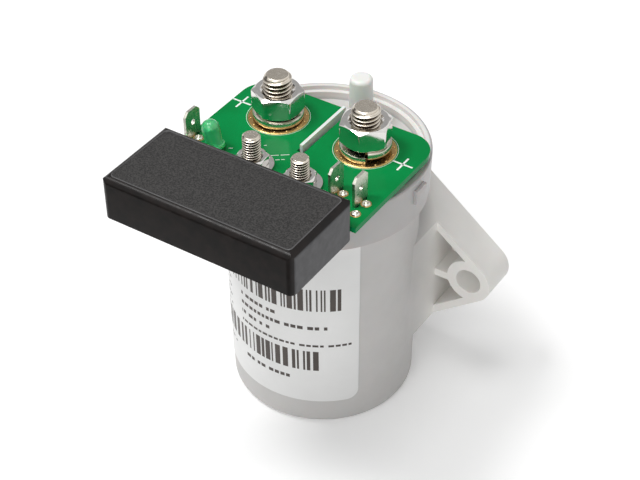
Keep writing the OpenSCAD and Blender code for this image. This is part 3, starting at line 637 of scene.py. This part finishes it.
def add_nut(shape, place, flats, bottom, top, bore, pitch, columns=192):
    """A hexagon nut with chamfered corners and a countersunk, threaded bore."""
    slope = tan(radians(30))
    half = flats / 2
    face_r = 0.96 * half
    corner_r = half / cos(pi / 6)
    edge = 0.012 * half

    def outside(angle, depth):
        to_flat = (angle + pi / 6) % (pi / 3) - pi / 6
        hexagon = half / cos(to_flat)
        blunt = min(hexagon, corner_r - edge)
        return min(blunt, face_r + depth / slope)

    drop = (corner_r - face_r) * slope
    steps = 12
    depths = [drop * (i / steps) for i in range(steps + 1)]
    heights = [(d, bottom + d) for d in depths] + [(d, top - d) for d in reversed(depths)]
    angles = turns(columns)
    sink_r = bore + 0.8 * MM * bore / STUD_R
    low_sink = 0.6 * MM
    high_sink = 0.7 * MM
    rows = [circle(bore, angles, bottom + low_sink), circle(sink_r, angles, bottom)]
    for depth, z in heights:
        rows.append([])
        for t in angles:
            r = outside(t, depth)
            rows[-1].append((r * cos(t), r * sin(t), z))
    rows += [circle(sink_r, angles, top), circle(bore, angles, top - high_sink)]
    bore_rows = 10
    for i in range(1, bore_rows):
        z = top - high_sink - (top - bottom - low_sink - high_sink) * i / bore_rows
        rows.append([])
        for t in angles:
            r = bore - 0.25 * (bore - thread_radius(bore, pitch, t, z))
            rows[-1].append((r * cos(t), r * sin(t), z))
    rows.append(rows[0])
    shape.rows(rows, place=place)


def nuts():
    power = Shape()
    for side, turn, bottom in zip((-1, 1), NUT_TURNS, NUT_BOTTOMS):
        place = Matrix.Translation((side * STUD_X, 0, 0)) @ Matrix.Rotation(turn + pi / 6, 4, "Z")
        add_nut(power, place, NUT_FLATS, bottom, bottom + NUT_HIGH, STUD_R + 0.06 * MM, STUD_PITCH)
    power.object("power_nuts_hex", "plated_nut", ["power_nuts"], sharp=25)
    signal = Shape()
    bottom = low("signal_nuts").z
    top = high("signal_nuts").z
    for x, turn in zip(SIGNAL_XS, (radians(8), radians(22))):
        place = Matrix.Translation((x, SIGNAL_Y, 0)) @ Matrix.Rotation(turn, 4, "Z")
        add_nut(signal, place, SIGNAL_FLATS, bottom, top, SIGNAL_R + 0.05 * MM, SIGNAL_PITCH, columns=96)
    signal.object("signal_nuts_hex", "plated_nut", ["signal_nuts"], sharp=25)


def lock_washers():
    """Split rings whose two ends stand a little apart in height."""
    shape = Shape()
    inner, outer = 4.1 * MM, 7.2 * MM
    bottom = low("lock_washers").z
    thick = LOCK_THICK
    edge = 0.28 * MM
    half_gap = 0.35 * MM / outer
    columns = 96
    section = [
        (inner + edge, 0), (outer - edge, 0), (outer - 0.3 * edge, 0.3 * edge), (outer, edge),
        (outer, thick - edge), (outer - 0.3 * edge, thick - 0.3 * edge), (outer - edge, thick),
        (inner + edge, thick), (inner, thick - edge), (inner, edge),
    ]
    for side, split, top in zip((-1, 1), (LOCK_SPLIT_TURN + pi, LOCK_SPLIT_TURN), NUT_BOTTOMS):
        lift = top - bottom - thick
        rows = []
        for i in range(columns + 1):
            share = i / columns
            angle = split + half_gap + (TURN - 2 * half_gap) * share
            rise = bottom + lift * (1 - share)
            rows.append([(r * cos(angle), r * sin(angle), z + rise) for r, z in section])
        shape.rows(rows, start_cap=True, end_cap=True, place=Matrix.Translation((side * STUD_X, 0, 0)))
    shape.object("lock_washers_split", "spring_steel", ["lock_washers"], sharp=40)


def plated_rings():
    """Plated rings with a rounded lip and small beads of solder round the washer."""
    shape = Shape()
    outer = high("plated_rings").x - STUD_X
    bottom = BOARD_TOP
    top = high("plated_rings").z
    bead_r = 0.32 * MM
    bead_circle = 7.75 * MM
    beads = 14
    for side in (-1, 1):
        place = Matrix.Translation((side * STUD_X, 0, 0))
        shape.turned([
            (4.3 * MM, bottom), (4.3 * MM, top), (outer - 0.7 * MM, top), (outer - 0.3 * MM, top),
            (outer - 0.1 * MM, bottom + 0.6 * (top - bottom)), (outer, bottom),
        ], columns=96, place=place)
        for k in range(beads):
            angle = TURN * (k + 0.5) / beads
            spot = place @ Matrix.Translation((bead_circle * cos(angle), bead_circle * sin(angle), top))
            dome = [(bead_r * cos(t), bead_r * 0.7 * sin(t)) for t in [pi / 2 * i / 5 for i in range(5)]]
            shape.turned(dome + [(0.02 * bead_r, 0.7 * bead_r)], columns=14, place=spot, end_cap=True)
    shape.object("plated_rings_beaded", "gold_plating", ["plated_rings"])


def solder_joints():
    """Solder drawn up round a wire end, on a plated pad."""
    places = [(19.7, -19.8), (27.05, -20.15), (26.95, -25.2), (-27.0, -20.2)]
    joints = Shape()
    pads = Shape()
    for x, y in places:
        place = Matrix.Translation((x * MM, y * MM, BOARD_TOP))
        pads.turned([(r * MM, z * MM) for r, z in (
            (0.9, 0), (0.9, 0.1), (1.3, 0.12), (1.45, 0.08), (1.5, 0),
        )], columns=28, place=place)
        joints.turned([(r * MM, z * MM) for r, z in (
            (1.2, 0.05), (1.12, 0.22), (0.95, 0.4), (0.78, 0.46), (0.6, 0.36), (0.46, 0.22), (0.4, 0.34),
            (0.38, 0.62), (0.28, 0.7), (0.03, 0.72),
        )], columns=28, place=place, end_cap=True)
    pads.object("solder_pads", "gold_plating")
    joints.object("solder_cups", "solder", ["solder_joints"])


def add_box(shape, place, low_corner, high_corner, edge):
    """A block with chamfered upper edges."""
    (x0, y0, z0), (x1, y1, z1) = low_corner, high_corner
    rows = []
    for inset, z in ((0, z0), (0, z1 - edge), (edge * 0.4, z1 - edge * 0.3), (edge, z1)):
        rows.append([
            (x0 + inset, y0 + inset, z), (x1 - inset, y0 + inset, z),
            (x1 - inset, y1 - inset, z), (x0 + inset, y1 - inset, z),
        ])
    shape.rows(rows, start_cap=True, end_cap=True, place=place)


# Radius of a pale ring round each power stud, a painted highlight on the step at the solder mask's edge.
MASK_EDGE_HIGHLIGHT_R = 8.95 * MM


def board_print():
    """White plus signs beside the power studs, short dashes by the lamp and the signal studs, and pale rings
    round the power studs that are a painted highlight.
    """
    shape = Shape()
    thin = 0.04 * MM
    arm = 3.0 * MM
    line = 0.28 * MM
    level = Matrix.Translation((0, 0, BOARD_TOP))
    for x, y in ((-27.0, 0.4), (26.3, -0.4)):
        place = level @ Matrix.Translation((x * MM, y * MM, 0))
        add_box(shape, place, (-arm, -line, 0), (arm, line, thin), 0.01 * MM)
        add_box(shape, place, (-line, -arm, 0), (line, arm, thin), 0.01 * MM)
    dash = 0.09 * MM
    for x, y, length in ((-5.7, -16.2, 2.2), (-3.6, -14.6, 2.4), (-3.6, -17.2, 1.2), (-2.3, -16.2, 0.9),
                         (-17.2, -19.6, 1.1), (-9.9, -13.4, 0.8)):
        place = level @ Matrix.Translation((x * MM, y * MM, 0)) @ Matrix.Rotation(radians(37), 4, "Z")
        add_box(shape, place, (0, -dash, 0), (length * MM, dash, thin), 0.01 * MM)
    # Painted highlight: thin pale rings in the print finish where the solder mask's edge steps over the
    # plating.
    for side in (-1, 1):
        shape.turned([
            (MASK_EDGE_HIGHLIGHT_R - 0.05 * MM, 0), (MASK_EDGE_HIGHLIGHT_R - 0.05 * MM, thin),
            (MASK_EDGE_HIGHLIGHT_R + 0.05 * MM, thin), (MASK_EDGE_HIGHLIGHT_R + 0.05 * MM, 0),
        ], columns=96, place=level @ Matrix.Translation((side * STUD_X, 0, 0)))
    shape.object("board_print", "silk_print")


LAMP_FOOT = Vector((-20 * MM, -22 * MM, BOARD_TOP + 1.0 * MM))
LAMP_LEAN = radians(-12)
LAMP_R = 2.5 * MM
LAMP_LENGTH = 8.3 * MM


def indicator():
    """A clear tinted lamp with its lead frame inside."""
    place = Matrix.Translation(LAMP_FOOT) @ Matrix.Rotation(LAMP_LEAN, 4, "Y")
    lens = Shape()
    flange = 2.9 * MM
    straight = LAMP_LENGTH - LAMP_R
    profile = [
        (0.1 * MM, 0), (flange - 0.1 * MM, 0), (flange, 0.1 * MM), (flange, 0.85 * MM),
        (flange - 0.12 * MM, 1 * MM), (LAMP_R + 0.05 * MM, 1.02 * MM),
        (LAMP_R, 1.15 * MM), (LAMP_R, straight),
    ]
    rounds = 14
    profile += [
        (LAMP_R * cos(pi / 2 * i / rounds), straight + LAMP_R * sin(pi / 2 * i / rounds))
        for i in range(1, rounds)
    ]
    lens.turned(profile + [(0.03 * MM, LAMP_LENGTH)], columns=48, place=place, start_cap=True, end_cap=True)
    lens.object("indicator_lens_clear", "green_lens", ["indicator_lens"])
    inside = Shape()
    wire = 0.25 * MM
    for side, rise in ((-1, 4.6), (1, 4.2)):
        x = side * 1.0 * MM
        add_box(inside, place, (x - wire, -wire, 0.2 * MM), (x + wire, wire, rise * MM), 0.08 * MM)
    cup = place @ Matrix.Translation((-0.7 * MM, 0, 4.3 * MM))
    inside.turned([(r * MM, z * MM) for r, z in (
        (0.5, 0), (0.85, 0.9), (0.75, 0.9), (0.4, 0.3), (0.05, 0.28),
    )], columns=24, place=cup, start_cap=True, end_cap=True)
    inside.object("indicator_lead_frame", "tinned_tab")


def module_border():
    """The fine raised line that frames the matt field on the module's top."""
    shape = Shape()
    proud = 0.16 * MM
    top = MODULE_HIGH.z
    corner_r = 1.2 * MM
    corner_steps = 6

    def outline(inset, z):
        x0, x1 = MODULE_LOW.x + inset, MODULE_HIGH.x - inset
        y0, y1 = MODULE_LOW.y + inset, MODULE_HIGH.y - inset
        r = corner_r
        corners = ((x1 - r, y1 - r, 0), (x0 + r, y1 - r, 1), (x0 + r, y0 + r, 2), (x1 - r, y0 + r, 3))
        points = []
        for x, y, quarter in corners:
            for i in range(corner_steps + 1):
                angle = pi / 2 * (quarter + i / corner_steps)
                points.append((x + r * cos(angle), y + r * sin(angle), z))
        return points

    shape.rows([
        outline(BORDER_INSET - BORDER_WIDTH, top - 0.05 * MM),
        outline(BORDER_INSET - 0.75 * BORDER_WIDTH, top + proud),
        outline(BORDER_INSET - 0.25 * BORDER_WIDTH, top + proud),
        outline(BORDER_INSET, top - 0.05 * MM),
    ])
    shape.object("module_border", "case_line_highlight")


# Label: a film on the cup, with generic bars and dashes

LABEL_RIGHT = radians(-35)
LABEL_WRAP = radians(140)
LABEL_LOW = low("label").z
LABEL_HIGH = CUP_SHOULDER_Z - 0.1 * MM
LABEL_CORNER = 3.5 * MM
FILM_LIFT = 0.2 * MM
PRINT_LIFT = 0.215 * MM


def wall_radius(z):
    return CUP_BASE_R + (CUP_TOP_R - CUP_BASE_R) * z / CUP_SHOULDER_Z


def on_cup(along, z, lift):
    """A point on the label: along is measured round the cup from the label's right edge."""
    angle = LABEL_RIGHT - along / CUP_BASE_R
    r = wall_radius(z) + lift
    return (r * cos(angle), r * sin(angle), z)


def label_film_piece():
    """The film, from the cap's shoulder down to its rounded lower corners."""
    shape = Shape()
    width = LABEL_WRAP * CUP_BASE_R
    cuts = [LABEL_CORNER * (1 - cos(pi / 2 * i / 8)) for i in range(9)]
    middle = 64
    spots = cuts + [LABEL_CORNER + (width - 2 * LABEL_CORNER) * i / middle for i in range(1, middle)]
    spots += [width - c for c in reversed(cuts)]
    outer = []
    for along in spots:
        reach = min(along, width - along, LABEL_CORNER)
        trim = LABEL_CORNER - sqrt(max(LABEL_CORNER ** 2 - (LABEL_CORNER - reach) ** 2, 0))
        outer.append((along, LABEL_LOW + trim, LABEL_HIGH))
    rows = []
    for lift in (FILM_LIFT, 0.04 * MM):
        rows.append([on_cup(along, z0, lift) for along, z0, z1 in outer])
        rows.append([on_cup(along, z1, lift) for along, z0, z1 in outer])
    order = (rows[2], rows[0], rows[1], rows[3], rows[2])
    shape.rows(order, closed=False)
    shape.object("label_sheet", "label_film", ["label"], sharp=40)


def add_patch(shape, along, width, z, height):
    """A printed rectangle on the label."""
    columns = max(1, ceil(width / (1.5 * MM)))
    stops = [along + width * i / columns for i in range(columns + 1)]
    shape.rows([
        [on_cup(stop, z, PRINT_LIFT) for stop in stops],
        [on_cup(stop, z + height, PRINT_LIFT) for stop in stops],
    ], closed=False)


def add_bars(shape, draw, right, left, z, height):
    """Upright bars of random width between two distances from the label's right edge."""
    along = right
    while along < left:
        width = draw.choice((0.45, 0.6, 1.0, 1.6)) * MM
        add_patch(shape, along, min(width, left - along), z, height)
        along += width + draw.choice((0.45, 0.8, 1.2)) * MM


def add_dashes(shape, draw, right, left, z, height):
    """A row of short dashes that stands for a line of print."""
    along = right
    while along < left:
        width = draw.uniform(0.9, 1.7) * MM
        add_patch(shape, along, min(width, left - along), z, height)
        along += width + draw.choice((0.45, 0.45, 0.45, 1.3)) * MM


def label_print_piece():
    """Two rows of bars, and rows of dashes given by right end, left end, height on the cup and thickness."""
    draw = random.Random(7)
    shape = Shape()
    add_bars(shape, draw, 5.2 * MM, 46 * MM, 44.5 * MM, 8 * MM)
    add_bars(shape, draw, 11.5 * MM, 52 * MM, 21.5 * MM, 7.5 * MM)
    for right, left, z, height in (
        (24, 37, 40.8, 1.2), (9, 37, 37.4, 1.2), (26, 37, 34.0, 1.2),
        (2.2, 37, 30.8, 0.8), (20, 36, 17.4, 1.2),
        (44, 52, 41.0, 0.6), (44, 50, 37.6, 0.6), (44, 53, 34.2, 0.6),
        (44, 51, 30.9, 0.6), (42, 50, 17.6, 0.6),
    ):
        add_dashes(shape, draw, right * MM, left * MM, z * MM, height * MM)
    shape.object("label_print_bars", "label_print")


# Studio

FLOOR_GREY = 0.93
FLOOR_GLOW = 0.18
FILL_LEVEL = 0.25
FLOOR_WIDTH = 6.0


def seen_share(tree):
    """1 to the camera, in reflections and through glass, and 0 to all other rays."""
    path = tree.nodes.new("ShaderNodeLightPath")
    share = path.outputs["Is Camera Ray"]
    for name in ("Is Glossy Ray", "Is Transmission Ray"):
        larger = tree.nodes.new("ShaderNodeMath")
        larger.operation = "MAXIMUM"
        tree.links.new(share, larger.inputs[0])
        tree.links.new(path.outputs[name], larger.inputs[1])
        share = larger.outputs[0]
    return share


def add_sheet(name, width, depth, material):
    """A flat sheet of the studio."""
    x, y = width / 2, depth / 2
    mesh = bpy.data.meshes.new(name)
    mesh.from_pydata([(-x, -y, 0), (x, -y, 0), (x, y, 0), (-x, y, 0)], [], [(0, 1, 2, 3)])
    mesh.materials.append(material)
    sheet = bpy.data.objects.new(name, mesh)
    bpy.context.scene.collection.objects.link(sheet)
    return sheet


def aim(thing, place, target):
    thing.location = place
    thing.rotation_euler = (Vector(target) - Vector(place)).to_track_quat("-Z", "Y").to_euler()


def lit_floor():
    """A pale floor that shows near white to the camera and in reflections, and keeps the shadow."""
    material = bpy.data.materials.new("studio_floor")
    material.use_nodes = True
    tree = material.node_tree
    tree.nodes.clear()
    output = tree.nodes.new("ShaderNodeOutputMaterial")
    diffuse = tree.nodes.new("ShaderNodeBsdfDiffuse")
    diffuse.inputs["Color"].default_value = (FLOOR_GREY, FLOOR_GREY, FLOOR_GREY, 1)
    glow = tree.nodes.new("ShaderNodeEmission")
    strength = tree.nodes.new("ShaderNodeMath")
    strength.operation = "MULTIPLY"
    strength.inputs[1].default_value = FLOOR_GLOW
    both = tree.nodes.new("ShaderNodeAddShader")
    tree.links.new(seen_share(tree), strength.inputs[0])
    tree.links.new(strength.outputs[0], glow.inputs["Strength"])
    tree.links.new(diffuse.outputs[0], both.inputs[0])
    tree.links.new(glow.outputs[0], both.inputs[1])
    tree.links.new(both.outputs[0], output.inputs["Surface"])
    floor = add_sheet("studio_floor", FLOOR_WIDTH, FLOOR_WIDTH, material)
    floor.location.z = -0.05 * MM


def studio_world():
    """White to the camera and in reflections, softer as fill light."""
    world = bpy.data.worlds.new("studio_world")
    bpy.context.scene.world = world
    world.use_nodes = True
    tree = world.node_tree
    background = tree.nodes["Background"]
    background.inputs["Color"].default_value = (1, 1, 1, 1)
    level = tree.nodes.new("ShaderNodeMapRange")
    level.inputs["To Min"].default_value = FILL_LEVEL
    level.inputs["To Max"].default_value = 1.0
    tree.links.new(seen_share(tree), level.inputs["Value"])
    tree.links.new(level.outputs["Result"], background.inputs["Strength"])


def add_softbox(name, place, target, size, power):
    data = bpy.data.lights.new(name, "AREA")
    data.shape = "RECTANGLE"
    data.size, data.size_y = size
    data.energy = power
    lamp = bpy.data.objects.new(name, data)
    aim(lamp, place, target)
    bpy.context.scene.collection.objects.link(lamp)


def add_card(name, place, target, size, grey):
    """A grey card that only reflections see. It gives the metal its darker side."""
    material = bpy.data.materials.new(name)
    material.use_nodes = True
    tree = material.node_tree
    tree.nodes.clear()
    output = tree.nodes.new("ShaderNodeOutputMaterial")
    glow = tree.nodes.new("ShaderNodeEmission")
    glow.inputs["Color"].default_value = (grey, grey, grey, 1)
    tree.links.new(glow.outputs[0], output.inputs["Surface"])
    card = add_sheet(name, *size, material)
    aim(card, place, target)
    card.visible_camera = False
    card.visible_diffuse = False
    card.visible_shadow = False
    card.visible_transmission = False


def add_lights():
    middle = (0, 0, 50 * MM)
    add_softbox("key_softbox", (-0.8, -0.5, 1.9), middle, (0.5, 0.5), 20.0)
    add_softbox("top_softbox", (-0.15, -0.1, 2.0), middle, (0.7, 0.7), 9.0)
    add_softbox("front_softbox", (0.25, -1.3, 1.3), middle, (1.0, 0.8), 8.0)
    add_softbox("front_fill", (1.0, -1.2, 0.5), middle, (1.0, 0.8), 2.8)
    add_card("back_card", (-0.42, 0.6, 0.5), middle, (1.3, 0.62), 0.45)
    add_card("left_card", (-0.9, -0.15, 0.3), middle, (0.7, 0.5), 0.1)
    add_card("front_card", (-0.15, -0.36, 4 * MM), (-0.15, -0.36, 1), (0.6, 0.45), 0.03)


# The whole scene

add_camera()
finish_solids()
power_studs()
signal_studs()
nuts()
lock_washers()
plated_rings()
solder_joints()
board_print()
indicator()
module_border()
label_film_piece()
label_print_piece()
for tab in ("blade_tab_left", "blade_tab_inner", "blade_tab_outer"):
    soften_edges(tab, 0.1 * MM)
soften_edges("terminal_barrier", 0.3 * MM)
soften_edges("circuit_board", 0.08 * MM)
lit_floor()
studio_world()
add_lights()
bpy.context.scene.view_settings.view_transform = "Standard"
